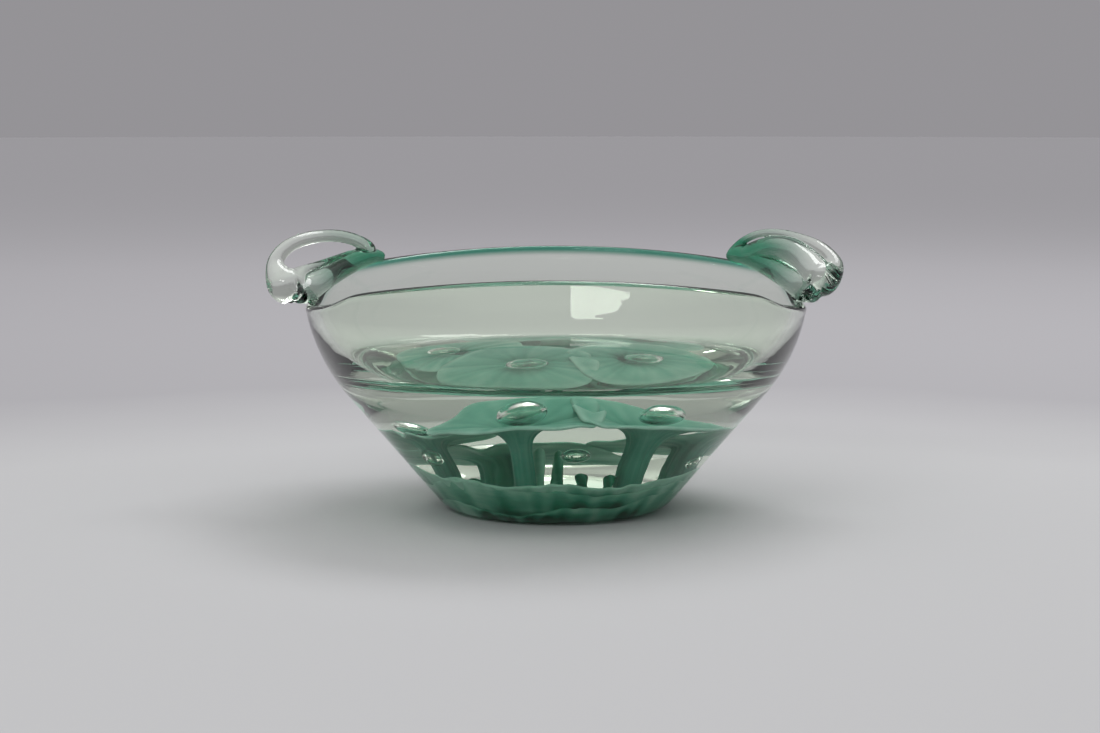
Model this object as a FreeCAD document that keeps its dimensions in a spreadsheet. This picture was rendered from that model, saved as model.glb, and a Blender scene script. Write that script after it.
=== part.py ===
import FreeCAD, Part
import math
import os

import Sketcher

# Clear glass bowl on a solid base.  Five teal trumpet flowers grow from a teal ground inside the base,
# with an air bubble over every mouth and smaller ones between the stems.  The bowl's floor domes up over
# them.  A curl of clear glass stands on the rim at each side.
#
# Frame: millimetres, origin at the middle of the foot, +Z up, handles towards -X and +X.

Vec = FreeCAD.Vector
UP = Vec(0, 0, 1)

doc = FreeCAD.newDocument("art_glass_bowl")


# ---------------------------------------------------------------- driving dimensions

SIZES = [
    # outside of the bowl
    ("foot_radius", 24.0),
    ("heel_radius", 7.8),
    ("belly_radius", 46.0),
    ("belly_height", 58.7),
    ("mouth_radius", 63.2),
    ("blank_height", 68.0),
    # inside of the bowl
    ("wall_low", 3.6),
    ("wall_low_height", 52.0),
    ("wall_lean", 8.5),
    ("hollow_radius", 30.0),
    ("floor_crown", 41.3),
    ("floor_dome", 220.0),
    ("floor_fillet", 5.0),
    # join between the base weight and the bowl
    ("join_edge_height", 33.5),
    ("join_crown_height", 39.5),
    # saddle-shaped rim
    ("rim_height", 62.0),
    ("rim_sag", 8.6),
    ("rim_back_sag", 4.2),
    ("rim_back_start", 28.0),
    ("rim_dip", 2.0),
    ("dip_centre", 50.5),
    ("dip_width", 1.6),
    ("rim_round", 0.9),
    # ground
    ("ground_floor", 1.2),
    ("ground_foot_radius", 25.2),
    ("ground_edge_radius", 35.8),
    ("ground_edge_height", 12.6),
    ("ground_crown_radius", 33.5),
    ("ground_crown_height", 13.8),
    ("ground_middle_height", 11.6),
    # flowers
    ("lip_thickness", 1.1),
    ("stem_ring", 20.0),
    ("stem_foot_height", 10.0),
    # bubbles
    ("bubble_half_width", 4.7),
    ("bubble_half_depth", 4.0),
    ("bubble_half_height", 2.1),
    ("bubble_gap", 0.3),
    # handles
    ("left_half_length", 17.0),
    ("left_bend", 3.6),
    ("left_low", 4.4),
    ("left_arch", 6.2),
    ("left_strand", 2.0),
    ("right_half_length", 20.0),
    ("right_bend", 2.6),
    ("right_low", 2.6),
    ("right_arch", 3.8),
    ("right_strand", 1.5),
    ("lobe_radius", 5.2),
    ("root_radius", 2.9),
    ("root_sweep", 31.0),
]

sheet = doc.addObject("Spreadsheet::Sheet", "Sizes")
for row, (alias, value) in enumerate(SIZES, start=1):
    sheet.set(f"A{row}", alias)
    sheet.set(f"B{row}", str(value))
    sheet.setAlias(f"B{row}", alias)
doc.recompute()


def size(alias):
    return float(getattr(sheet, alias))


# Each flower was set by hand, so each stands a little differently.  bearing is in degrees from +X; ring and
# height place the middle of the mouth; wide and deep are its half sizes; tilt leans the mouth outward and
# roll lifts its anticlockwise end; stem is the stem's half width.
FLOWER_FIELDS = ("bearing", "ring", "height", "wide", "deep", "tilt", "roll", "stem")
FLOWER_VALUES = {
    "flower_front": (-108, 30.3, 32.0, 14.6, 9.8, 26, 5, 2.4),
    "flower_right": (-43, 30.3, 31.6, 15.0, 9.8, 26, -5, 2.9),
    "flower_back_right": (28, 27.0, 31.0, 14.4, 9.6, 3, 3, 2.8),
    "flower_back_left": (108, 26.5, 30.6, 15.0, 9.6, 3, -3, 2.6),
    "flower_left": (192, 27.5, 28.8, 12.8, 9.4, 18, 3, 2.8),
}
FLOWERS = {name: dict(zip(FLOWER_FIELDS, values)) for name, values in FLOWER_VALUES.items()}

# Small bubbles between the stems: bearing, ring, height and radius.
SMALL_BUBBLES = [
    (-81.4, 28.0, 22.4, 2.4),
    (-12.6, 28.5, 19.3, 2.3),
    (62.0, 28.5, 20.5, 2.2),
    (145.0, 28.5, 20.5, 2.2),
    (-152.8, 28.5, 20.6, 2.5),
]


# ---------------------------------------------------------------- sketch helpers

def plane_of(body, role):
    return next(item for item in body.Origin.OriginFeatures if item.Role == role)


def upright_sketch(body, name):
    """A sketch on the body's XZ plane: its x is the radius and its y is the height."""
    sketch = body.newObject("Sketcher::SketchObject", name)
    sketch.AttachmentSupport = [(plane_of(body, "XZ_Plane"), "")]
    sketch.MapMode = "FlatFace"
    return sketch


def line(sketch, start, end):
    return sketch.addGeometry(Part.LineSegment(Vec(*start, 0), Vec(*end, 0)), False)


def arc(sketch, centre, start, end):
    """An arc that runs counter-clockwise from start to end about centre."""
    radius = math.dist(centre, start)
    first = math.atan2(start[1] - centre[1], start[0] - centre[0])
    last = math.atan2(end[1] - centre[1], end[0] - centre[0])
    if last < first:
        last += 2 * math.pi
    circle = Part.Circle(Vec(*centre, 0), UP, radius)
    return sketch.addGeometry(Part.ArcOfCircle(circle, first, last), False)


START, END, CENTRE = 1, 2, 3
ORIGIN_POINT = (-1, 1)
VERTICAL_AXIS = -2


def join(sketch, *ends):
    """Make each pair of points in ends coincide."""
    for first, second in ends:
        sketch.addConstraint(Sketcher.Constraint("Coincident", *first, *second))


def measure(sketch, kind, point, name, formula):
    """Hold a point's x or y, or a curve's radius, at a value worked out from the sheet."""
    value = sketch.evalExpression(formula)
    value = float(getattr(value, "Value", value))
    if kind == "Radius":
        index = sketch.addConstraint(Sketcher.Constraint(kind, point, value))
    else:
        index = sketch.addConstraint(Sketcher.Constraint(kind, *ORIGIN_POINT, *point, value))
    sketch.renameConstraint(index, name)
    sketch.setExpression(f"Constraints.{name}", formula)


def revolve(body, sketch, name):
    turn = body.newObject("PartDesign::Revolution", name)
    turn.Profile = sketch
    turn.ReferenceAxis = (sketch, ["V_Axis"])
    turn.Angle = 360.0
    return turn


# ---------------------------------------------------------------- outer profile, shared by both clear pieces

HEEL_CENTRE = (size("foot_radius"), size("heel_radius"))
BELLY_CENTRE = (size("mouth_radius") - size("belly_radius"), size("belly_height"))


def shared_tangent(low_centre, low_radius, high_centre, high_radius):
    """Both touching points of the straight side that is tangent to the heel and to the belly."""
    across = high_centre[0] - low_centre[0]
    rise = high_centre[1] - low_centre[1]
    span = math.hypot(across, rise)
    along = math.atan2(rise, across)
    outward = along - math.acos((low_radius - high_radius) / span)
    normal = (math.cos(outward), math.sin(outward))
    low = (low_centre[0] + low_radius * normal[0], low_centre[1] + low_radius * normal[1])
    high = (high_centre[0] + high_radius * normal[0], high_centre[1] + high_radius * normal[1])
    return low, high


SIDE_LOW, SIDE_HIGH = shared_tangent(
    HEEL_CENTRE, size("heel_radius"), BELLY_CENTRE, size("belly_radius")
)


def belly_radius_at(height):
    drop = size("belly_height") - height
    return BELLY_CENTRE[0] + math.sqrt(size("belly_radius") ** 2 - drop ** 2)


JOIN_EDGE = (belly_radius_at(size("join_edge_height")), size("join_edge_height"))
JOIN_CROWN = (0.0, size("join_crown_height"))


def dome_centre():
    """Centre, on the axis, of the arc from the join's edge over its crown."""
    rise = JOIN_CROWN[1] - JOIN_EDGE[1]
    radius = (JOIN_EDGE[0] ** 2 + rise ** 2) / (2 * rise)
    return (0.0, JOIN_CROWN[1] - radius)


# ---------------------------------------------------------------- base weight: the solid clear lump

def base_weight_blank():
    body = doc.addObject("PartDesign::Body", "BaseBlank")
    sketch = upright_sketch(body, "BaseOutline")
    foot = line(sketch, (0, 0), (HEEL_CENTRE[0], 0))
    heel = arc(sketch, HEEL_CENTRE, (HEEL_CENTRE[0], 0), SIDE_LOW)
    side = line(sketch, SIDE_LOW, SIDE_HIGH)
    belly = arc(sketch, BELLY_CENTRE, SIDE_HIGH, JOIN_EDGE)
    dome = arc(sketch, dome_centre(), JOIN_EDGE, JOIN_CROWN)
    axis = line(sketch, JOIN_CROWN, (0, 0))
    join(
        sketch,
        ((foot, START), ORIGIN_POINT),
        ((axis, END), ORIGIN_POINT),
        ((belly, END), (dome, START)),
        ((dome, END), (axis, START)),
    )
    sketch.addConstraint(Sketcher.Constraint("Horizontal", foot))
    sketch.addConstraint(Sketcher.Constraint("Vertical", axis))
    sketch.addConstraint(Sketcher.Constraint("Tangent", foot, END, heel, START))
    sketch.addConstraint(Sketcher.Constraint("Tangent", heel, END, side, START))
    sketch.addConstraint(Sketcher.Constraint("Tangent", side, END, belly, START))
    sketch.addConstraint(Sketcher.Constraint("PointOnObject", dome, CENTRE, VERTICAL_AXIS))
    measure(sketch, "DistanceX", (foot, END), "foot", "Sizes.foot_radius")
    measure(sketch, "Radius", heel, "heel", "Sizes.heel_radius")
    measure(sketch, "Radius", belly, "belly", "Sizes.belly_radius")
    measure(sketch, "DistanceX", (belly, CENTRE), "belly_x", "Sizes.mouth_radius - Sizes.belly_radius")
    measure(sketch, "DistanceY", (belly, CENTRE), "belly_z", "Sizes.belly_height")
    measure(sketch, "DistanceY", (belly, END), "join_edge", "Sizes.join_edge_height")
    measure(sketch, "DistanceY", (dome, END), "join_crown", "Sizes.join_crown_height")
    revolve(body, sketch, "BaseTurn")
    return body


# ---------------------------------------------------------------- ground: the coloured bed

def ground_cushion():
    body = doc.addObject("PartDesign::Body", "GroundBody")
    body.Label = "ground_cushion"
    sketch = upright_sketch(body, "GroundOutline")
    corners = [
        (0.0, size("ground_floor")),
        (size("ground_foot_radius"), size("ground_floor")),
        (size("ground_edge_radius"), size("ground_edge_height")),
        (size("ground_crown_radius"), size("ground_crown_height")),
        (0.0, size("ground_middle_height")),
    ]
    sides = [line(sketch, a, b) for a, b in zip(corners, corners[1:] + corners[:1])]
    for here, following in zip(sides, sides[1:] + sides[:1]):
        join(sketch, ((here, END), (following, START)))
    measure(sketch, "DistanceX", (sides[1], START), "foot_x", "Sizes.ground_foot_radius")
    measure(sketch, "DistanceY", (sides[1], START), "foot_z", "Sizes.ground_floor")
    measure(sketch, "DistanceX", (sides[2], START), "edge_x", "Sizes.ground_edge_radius")
    measure(sketch, "DistanceY", (sides[2], START), "edge_z", "Sizes.ground_edge_height")
    measure(sketch, "DistanceX", (sides[3], START), "crown_x", "Sizes.ground_crown_radius")
    measure(sketch, "DistanceY", (sides[3], START), "crown_z", "Sizes.ground_crown_height")
    measure(sketch, "DistanceY", (sides[4], START), "middle_z", "Sizes.ground_middle_height")
    sketch.addConstraint(Sketcher.Constraint("Horizontal", sides[0]))
    sketch.addConstraint(Sketcher.Constraint("PointOnObject", sides[0], START, VERTICAL_AXIS))
    sketch.addConstraint(Sketcher.Constraint("PointOnObject", sides[4], START, VERTICAL_AXIS))
    revolve(body, sketch, "GroundTurn")
    return body


# ---------------------------------------------------------------- flowers: slim stems that flare into plates

def around(radius, bearing, height):
    turn = math.radians(bearing)
    return Vec(radius * math.cos(turn), radius * math.sin(turn), height)


def oval_wire(centre, across, along, half_width, half_depth):
    """A smooth closed oval about centre; across and along are the directions of its two half-axes."""
    corners = 12
    turns = [2 * math.pi * corner / corners for corner in range(corners)]
    points = [
        centre + across * (half_width * math.cos(turn)) + along * (half_depth * math.sin(turn))
        for turn in turns
    ]
    curve = Part.BSplineCurve()
    curve.interpolate(points, PeriodicFlag=True)
    return Part.Wire([curve.toShape()])


def mouth_turn(spec, share):
    """How far a section has turned towards the mouth's own attitude; its x points outward, its z up."""
    roll = FreeCAD.Rotation(Vec(1, 0, 0), spec["roll"] * share)
    tilt = FreeCAD.Rotation(Vec(0, 1, 0), spec["tilt"] * share)
    return FreeCAD.Rotation(UP, spec["bearing"]) * roll * tilt


def flower_section(spec, stage, lift, scale):
    """The oval at a stage from 0 at the stem's foot to 1 at the mouth, raised along its own axis by lift."""
    opening = (max(0.0, stage - 0.30) / 0.70) ** 2.7
    rise = 1 - (1 - stage) ** 2.1
    lean = stage ** 1.3
    radius = size("stem_ring") + (spec["ring"] - size("stem_ring")) * lean
    height = size("stem_foot_height") + (spec["height"] - size("stem_foot_height")) * rise
    turn = mouth_turn(spec, lean)
    centre = around(radius, spec["bearing"], height) + turn.multVec(UP) * lift
    half_width = (spec["stem"] * (1 - opening) + spec["wide"] * opening) * scale
    half_depth = (spec["stem"] * (1 - opening) + spec["deep"] * opening) * scale
    across = turn.multVec(Vec(0, 1, 0))
    along = turn.multVec(Vec(1, 0, 0))
    return oval_wire(centre, across, along, half_width, half_depth)


def flower_blank(spec):
    """Stem and plate, closed straight across the mouth."""
    lip = size("lip_thickness")
    stages = (0.0, 0.3, 0.5, 0.65, 0.8, 0.92, 1.0)
    wires = [flower_section(spec, stage, -lip * stage, 1.0) for stage in stages]
    wires.append(flower_section(spec, 1.0, 0.0, 1.0))
    return Part.makeLoft(wires, True, True)


def flower_dish(spec):
    """The shallow hollow in the mouth, as a solid to take away."""
    steps = [(-2.8, 0.12), (-1.5, 0.25), (-0.6, 0.5), (0.0, 0.85), (0.6, 0.95)]
    wires = [flower_section(spec, 1.0, lift, scale) for lift, scale in steps]
    return Part.makeLoft(wires, True, True)


def make_flowers(ground):
    """Each flower ends where it meets the ground."""
    flowers = []
    for name, spec in FLOWERS.items():
        raw = doc.addObject("Part::Feature", f"{name}_plate")
        raw.Shape = flower_blank(spec).cut(flower_dish(spec))
        flower = doc.addObject("Part::Cut", f"{name}_cut")
        flower.Base = raw
        flower.Tool = ground
        flower.Label = name
        flowers.append(flower)
    return flowers


# ---------------------------------------------------------------- air bubbles

def make_bubbles():
    """A flattened bubble floats just over each mouth; round ones sit between the stems."""
    bubbles = []
    for name, spec in FLOWERS.items():
        bubble = doc.addObject("Part::Ellipsoid", f"{name}_bubble")
        bubble.setExpression("Radius1", "Sizes.bubble_half_height")
        bubble.setExpression("Radius2", "Sizes.bubble_half_depth")
        bubble.setExpression("Radius3", "Sizes.bubble_half_width")
        turn = mouth_turn(spec, 1.0)
        rise = size("bubble_half_height") + size("bubble_gap")
        place = around(spec["ring"], spec["bearing"], spec["height"]) + turn.multVec(UP) * rise
        bubble.Placement = FreeCAD.Placement(place, turn)
        bubbles.append(bubble)
    for index, (bearing, ring, height, radius) in enumerate(SMALL_BUBBLES, start=1):
        bubble = doc.addObject("Part::Sphere", f"small_bubble_{index}")
        bubble.Radius = radius
        bubble.Placement = FreeCAD.Placement(around(ring, bearing, height), FreeCAD.Rotation())
        bubbles.append(bubble)
    return bubbles


def base_weight(blank, ground, flowers, bubbles):
    pockets = doc.addObject("Part::MultiFuse", "BasePockets")
    pockets.Shapes = [ground] + flowers + bubbles
    weight = doc.addObject("Part::Cut", "BaseWeightCut")
    weight.Base = blank
    weight.Tool = pockets
    weight.Label = "base_weight"
    return weight


# ---------------------------------------------------------------- bowl body: floor, wall and saddle rim

def moat_centre(hollow, dome):
    """Centre of the floor's corner round, which touches the hollow within and the domed floor above."""
    near = size("hollow_radius") - size("floor_fillet")
    far = size("floor_dome") + size("floor_fillet")
    span = math.dist(hollow, dome)
    along = (near ** 2 - far ** 2 + span ** 2) / (2 * span)
    off = math.sqrt(near ** 2 - along ** 2)
    step = ((dome[0] - hollow[0]) / span, (dome[1] - hollow[1]) / span)
    return (hollow[0] + along * step[0] - off * step[1], hollow[1] + along * step[1] + off * step[0])


def on_circle(centre, radius, towards, sign):
    """The point of a circle on the line from its centre through towards, ahead (+1) or behind (-1)."""
    reach = sign * radius / math.dist(centre, towards)
    return tuple(c + (t - c) * reach for c, t in zip(centre, towards))


def bowl_blank():
    body = doc.addObject("PartDesign::Body", "BowlBlank")
    sketch = upright_sketch(body, "BowlOutline")
    mouth = size("mouth_radius")
    lean = math.radians(size("wall_lean"))
    low_wall = (mouth - size("wall_low"), size("wall_low_height"))
    top_x = low_wall[0] + (size("blank_height") - low_wall[1]) * math.tan(lean)
    hollow_centre = (
        low_wall[0] - size("hollow_radius") * math.cos(lean),
        low_wall[1] + size("hollow_radius") * math.sin(lean),
    )
    floor_centre = (0.0, size("floor_crown") - size("floor_dome"))
    corner_centre = moat_centre(hollow_centre, floor_centre)
    meeting = on_circle(corner_centre, size("floor_fillet"), hollow_centre, -1)
    landing = on_circle(corner_centre, size("floor_fillet"), floor_centre, 1)
    belly = arc(sketch, BELLY_CENTRE, JOIN_EDGE, (mouth, BELLY_CENTRE[1]))
    outer = line(sketch, (mouth, BELLY_CENTRE[1]), (mouth, size("blank_height")))
    top = line(sketch, (mouth, size("blank_height")), (top_x, size("blank_height")))
    wall = line(sketch, (top_x, size("blank_height")), low_wall)
    hollow = arc(sketch, hollow_centre, meeting, low_wall)
    corner = arc(sketch, corner_centre, landing, meeting)
    floor = arc(sketch, floor_centre, landing, (0, size("floor_crown")))
    axis = line(sketch, (0, size("floor_crown")), JOIN_CROWN)
    dome = arc(sketch, dome_centre(), JOIN_EDGE, JOIN_CROWN)
    join(
        sketch,
        ((belly, START), (dome, START)),
        ((outer, END), (top, START)),
        ((top, END), (wall, START)),
        ((floor, END), (axis, START)),
        ((axis, END), (dome, END)),
    )
    sketch.addConstraint(Sketcher.Constraint("Tangent", belly, END, outer, START))
    sketch.addConstraint(Sketcher.Constraint("Tangent", wall, END, hollow, END))
    sketch.addConstraint(Sketcher.Constraint("Tangent", hollow, START, corner, END))
    sketch.addConstraint(Sketcher.Constraint("Tangent", corner, START, floor, START))
    sketch.addConstraint(Sketcher.Constraint("Vertical", outer))
    sketch.addConstraint(Sketcher.Constraint("Horizontal", top))
    sketch.addConstraint(Sketcher.Constraint("PointOnObject", axis, START, VERTICAL_AXIS))
    sketch.addConstraint(Sketcher.Constraint("PointOnObject", axis, END, VERTICAL_AXIS))
    sketch.addConstraint(Sketcher.Constraint("PointOnObject", floor, CENTRE, VERTICAL_AXIS))
    sketch.addConstraint(Sketcher.Constraint("PointOnObject", dome, CENTRE, VERTICAL_AXIS))
    measure(sketch, "Radius", belly, "belly", "Sizes.belly_radius")
    measure(sketch, "DistanceX", (outer, END), "mouth", "Sizes.mouth_radius")
    measure(sketch, "DistanceY", (outer, START), "belly_z", "Sizes.belly_height")
    measure(sketch, "DistanceY", (outer, END), "blank", "Sizes.blank_height")
    measure(sketch, "DistanceX", (wall, END), "low_x", "Sizes.mouth_radius - Sizes.wall_low")
    measure(sketch, "DistanceY", (wall, END), "low_z", "Sizes.wall_low_height")
    measure(
        sketch, "DistanceX", (wall, START), "top_x",
        "Sizes.mouth_radius - Sizes.wall_low"
        " + (Sizes.blank_height - Sizes.wall_low_height) * tan(Sizes.wall_lean)",
    )
    measure(sketch, "Radius", hollow, "hollow", "Sizes.hollow_radius")
    measure(sketch, "Radius", corner, "corner", "Sizes.floor_fillet")
    measure(sketch, "Radius", floor, "floor", "Sizes.floor_dome")
    measure(sketch, "DistanceY", (floor, END), "crown_z", "Sizes.floor_crown")
    measure(sketch, "DistanceY", (dome, START), "join_edge", "Sizes.join_edge_height")
    measure(sketch, "DistanceY", (dome, END), "join_crown", "Sizes.join_crown_height")
    revolve(body, sketch, "BowlTurn")
    return body


def rim_line(across, away):
    """Height of the rim: it sags and dips towards each handle, less so along the back where they land."""
    part = (across / size("mouth_radius")) ** 2
    past = (abs(across) - size("dip_centre")) / size("dip_width")
    dip = size("rim_dip") / (1 + math.exp(-past))
    front = size("rim_height") - size("rim_sag") * part - dip
    back = size("rim_height") - size("rim_back_sag") * part
    share = min(1.0, max(0.0, away / size("rim_back_start")))
    return front + (back - front) * share * share * (3 - 2 * share)


def saddle_cutter():
    """Everything above the rim line."""
    reach = size("mouth_radius") + 4
    steps = 40
    places = [-reach + 2 * reach * step / steps for step in range(steps + 1)]
    surface = Part.BSplineSurface()
    surface.interpolate([[Vec(x, y, rim_line(x, y)) for y in places] for x in places])
    cutter = doc.addObject("Part::Feature", "SaddleCutter")
    cutter.Shape = surface.toShape().extrude(UP * (size("blank_height") / 2))
    return cutter


def bowl_body(blank, cutter):
    cut = doc.addObject("Part::Cut", "BowlSaddled")
    cut.Base = blank
    cut.Tool = cutter
    doc.recompute()
    lowest_rim = rim_line(size("mouth_radius"), 0) - 1
    rim_edges = []
    for index, edge in enumerate(cut.Shape.Edges, start=1):
        box = edge.BoundBox
        runs_round = max(box.XLength, box.YLength) > 2 * size("wall_low")
        if box.ZMin > lowest_rim and runs_round:
            rim_edges.append((index, size("rim_round"), size("rim_round")))
    if not rim_edges:
        raise RuntimeError("the rim has no edges to round")
    rim = doc.addObject("Part::Fillet", "BowlRim")
    rim.Base = cut
    rim.Edges = rim_edges
    rim.Label = "bowl_body"
    return rim


# ---------------------------------------------------------------- handles: a loop, a heavy lobe and a root

# The two curls were drawn by hand: the left one opens wide, the right one folded down to a slit.
LOOPS = {
    "left": dict(centre=Vec(-61.0, 17.0, 60.8), along=Vec(0.60, 0.78, 0.16), lean=15.0),
    "right": dict(centre=Vec(59.4, 20.0, 63.4), along=Vec(-0.49, 0.87, 0.15), lean=-8.0),
}
LOBE_CENTRE = Vec(-67.3, 2.5, 55.4)
ROOT_MIDDLE = 159.0
ROOT_HEIGHT = 57.6
ROOT_CLIMB = 11.0


def axes_along(direction, lean):
    """A rotation that takes local x along direction and leans local z outward by lean degrees."""
    along = Vec(direction).normalize()
    outward = UP.cross(along).normalize()
    angle = math.radians(lean)
    wanted = UP * math.cos(angle) + outward * math.sin(angle)
    upright = (wanted - along * wanted.dot(along)).normalize()
    aside = upright.cross(along)
    return FreeCAD.Rotation(along, aside, upright, "XZY")


def handle_loop(side):
    """A strand of round glass swept along a D: a straight side below, an arch above."""
    body = doc.addObject("PartDesign::Body", f"LoopBody_{side}")
    path = upright_sketch(body, f"LoopPath_{side}")
    bend = size(f"{side}_bend")
    low = -size(f"{side}_low")
    top = size(f"{side}_arch")
    half = size(f"{side}_half_length") - bend
    bend_height = low + bend
    crown = top - bend_height
    arch = (half ** 2 + crown ** 2 - bend ** 2) / (2 * (crown - bend))
    arch_centre = (0.0, top - arch)
    stretch = arch / (arch - bend)
    meet_x = half * stretch
    meet_z = arch_centre[1] + (bend_height - arch_centre[1]) * stretch
    base = line(path, (-half, low), (half, low))
    right = arc(path, (half, bend_height), (half, low), (meet_x, meet_z))
    over = arc(path, arch_centre, (meet_x, meet_z), (-meet_x, meet_z))
    left = arc(path, (-half, bend_height), (-meet_x, meet_z), (-half, low))
    for one, other in ((base, right), (right, over), (over, left), (left, base)):
        path.addConstraint(Sketcher.Constraint("Tangent", one, END, other, START))
    path.addConstraint(Sketcher.Constraint("PointOnObject", over, CENTRE, VERTICAL_AXIS))
    measure(path, "Radius", right, "bend", f"Sizes.{side}_bend")
    measure(path, "Radius", left, "other_bend", f"Sizes.{side}_bend")
    measure(path, "DistanceX", (right, CENTRE), "half", f"Sizes.{side}_half_length - Sizes.{side}_bend")
    measure(path, "DistanceY", (base, START), "low", f"-Sizes.{side}_low")
    strand = body.newObject("Sketcher::SketchObject", f"LoopStrand_{side}")
    strand.AttachmentSupport = [(plane_of(body, "YZ_Plane"), "")]
    strand.MapMode = "FlatFace"
    ring = strand.addGeometry(Part.Circle(Vec(0, low, 0), UP, size(f"{side}_strand")), False)
    strand.addConstraint(Sketcher.Constraint("PointOnObject", ring, CENTRE, VERTICAL_AXIS))
    measure(strand, "Radius", ring, "strand", f"Sizes.{side}_strand")
    measure(strand, "DistanceY", (ring, CENTRE), "strand_z", f"-Sizes.{side}_low")
    pipe = body.newObject("PartDesign::AdditivePipe", f"LoopPipe_{side}")
    pipe.Profile = strand
    pipe.Spine = (path, ["Edge1", "Edge2", "Edge3", "Edge4"])
    place = LOOPS[side]
    body.Placement = FreeCAD.Placement(place["centre"], axes_along(place["along"], place["lean"]))
    return body


def left_foot():
    """The left curl's heavy drop and the part that lies along the rim, with its round end."""
    lobe = doc.addObject("Part::Sphere", "LobeBall")
    lobe.setExpression("Radius", "Sizes.lobe_radius")
    lobe.Placement = FreeCAD.Placement(LOBE_CENTRE, FreeCAD.Rotation())
    climb = FreeCAD.Rotation(around(1, ROOT_MIDDLE, 0), -ROOT_CLIMB)
    level = Vec(0, 0, ROOT_HEIGHT)
    first_bearing = ROOT_MIDDLE - size("root_sweep") / 2
    rim_middle = size("mouth_radius") - size("wall_low") / 2
    root = doc.addObject("Part::Torus", "RootArc")
    root.setExpression("Radius1", "Sizes.mouth_radius - Sizes.wall_low / 2")
    root.setExpression("Radius2", "Sizes.root_radius")
    root.setExpression("Angle3", "Sizes.root_sweep")
    root.Placement = FreeCAD.Placement(level, climb * FreeCAD.Rotation(UP, first_bearing))
    end = doc.addObject("Part::Sphere", "RootEnd")
    end.setExpression("Radius", "Sizes.root_radius")
    end.Placement = FreeCAD.Placement(
        level + climb.multVec(around(rim_middle, first_bearing, 0)), FreeCAD.Rotation()
    )
    foot = doc.addObject("Part::MultiFuse", "LeftFoot")
    foot.Shapes = [lobe, root, end]
    return foot


def make_handles(bowl):
    """Both curls have the same foot, mirrored, and each has its own loop."""
    feet = {"left": left_foot()}
    feet["right"] = doc.addObject("Part::Mirroring", "RightFoot")
    feet["right"].Source = feet["left"]
    feet["right"].Normal = Vec(1, 0, 0)
    handles = []
    for side, foot in feet.items():
        curl = doc.addObject("Part::MultiFuse", f"{side}_curl")
        curl.Shapes = [handle_loop(side), foot]
        handle = doc.addObject("Part::Cut", f"{side}_handle_cut")
        handle.Base = curl
        handle.Tool = bowl
        handle.Label = f"{side}_handle"
        handles.append(handle)
    return handles


# ---------------------------------------------------------------- assembly and export

ground = ground_cushion()
flowers = make_flowers(ground)
bubbles = make_bubbles()
weight = base_weight(base_weight_blank(), ground, flowers, bubbles)
bowl = bowl_body(bowl_blank(), saddle_cutter())
handles = make_handles(bowl)
doc.recompute()

nodes = [bowl, weight, ground] + flowers + handles

for item in doc.Objects:
    if "Invalid" in item.State or "Error" in item.State:
        raise RuntimeError(f"{item.Name} did not recompute: {item.State}")
for node in nodes:
    if node.Shape.isNull() or not node.Shape.isValid():
        raise RuntimeError(f"{node.Label} has no valid shape")

os.makedirs("parts", exist_ok=True)
for node in nodes:
    node.Shape.exportStep(os.path.join("parts", node.Label + ".step"))
    box = node.Shape.optimalBoundingBox()
    print(
        f"{node.Label:18s} solids {len(node.Shape.Solids)} volume {node.Shape.Volume / 1000:8.2f} cm3 "
        f"x {box.XMin:.1f}..{box.XMax:.1f} y {box.YMin:.1f}..{box.YMax:.1f} z {box.ZMin:.1f}..{box.ZMax:.1f}"
    )
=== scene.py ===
import math

import bpy
import numpy as np
from mathutils import Matrix, Vector, noise


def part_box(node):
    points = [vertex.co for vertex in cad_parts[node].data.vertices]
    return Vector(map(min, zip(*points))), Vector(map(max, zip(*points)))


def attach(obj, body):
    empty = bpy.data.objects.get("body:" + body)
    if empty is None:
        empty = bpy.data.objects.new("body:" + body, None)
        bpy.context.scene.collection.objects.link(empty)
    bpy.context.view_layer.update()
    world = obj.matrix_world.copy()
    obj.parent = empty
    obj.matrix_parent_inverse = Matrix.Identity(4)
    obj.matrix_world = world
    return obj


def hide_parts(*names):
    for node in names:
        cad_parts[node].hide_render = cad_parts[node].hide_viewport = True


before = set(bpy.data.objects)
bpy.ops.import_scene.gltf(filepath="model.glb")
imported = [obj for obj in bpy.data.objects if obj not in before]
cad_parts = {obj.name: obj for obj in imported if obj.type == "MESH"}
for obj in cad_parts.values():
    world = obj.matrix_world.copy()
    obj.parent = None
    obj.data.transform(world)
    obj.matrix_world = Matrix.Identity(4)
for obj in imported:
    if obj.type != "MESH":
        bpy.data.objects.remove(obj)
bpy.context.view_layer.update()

MM = 0.001
TAU = 2 * math.pi
UP = Vector((0, 0, 1))


# ---------------------------------------------------------------- mesh helpers

def make_object(name, verts, faces, material):
    """A smooth-shaded object with one material."""
    mesh = bpy.data.meshes.new(name)
    mesh.from_pydata([tuple(v) for v in verts], [], faces)
    mesh.validate()
    mesh.update()
    mesh.materials.append(material)
    for polygon in mesh.polygons:
        polygon.use_smooth = True
    obj = bpy.data.objects.new(name, mesh)
    bpy.context.scene.collection.objects.link(obj)
    return obj


def grid_faces(rows, columns):
    """Quads of a grid whose columns close on themselves."""
    faces = []
    for row in range(rows - 1):
        low, high = row * columns, (row + 1) * columns
        for column in range(columns):
            following = (column + 1) % columns
            faces.append((low + column, low + following, high + following, high + column))
    return faces


def cap(centre_index, ring_start, columns, flip=False):
    """Triangles from a middle vertex to the ring of vertices that starts at ring_start."""
    faces = []
    for column in range(columns):
        a = ring_start + column
        b = ring_start + (column + 1) % columns
        faces.append((centre_index, b, a) if flip else (centre_index, a, b))
    return faces


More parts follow.
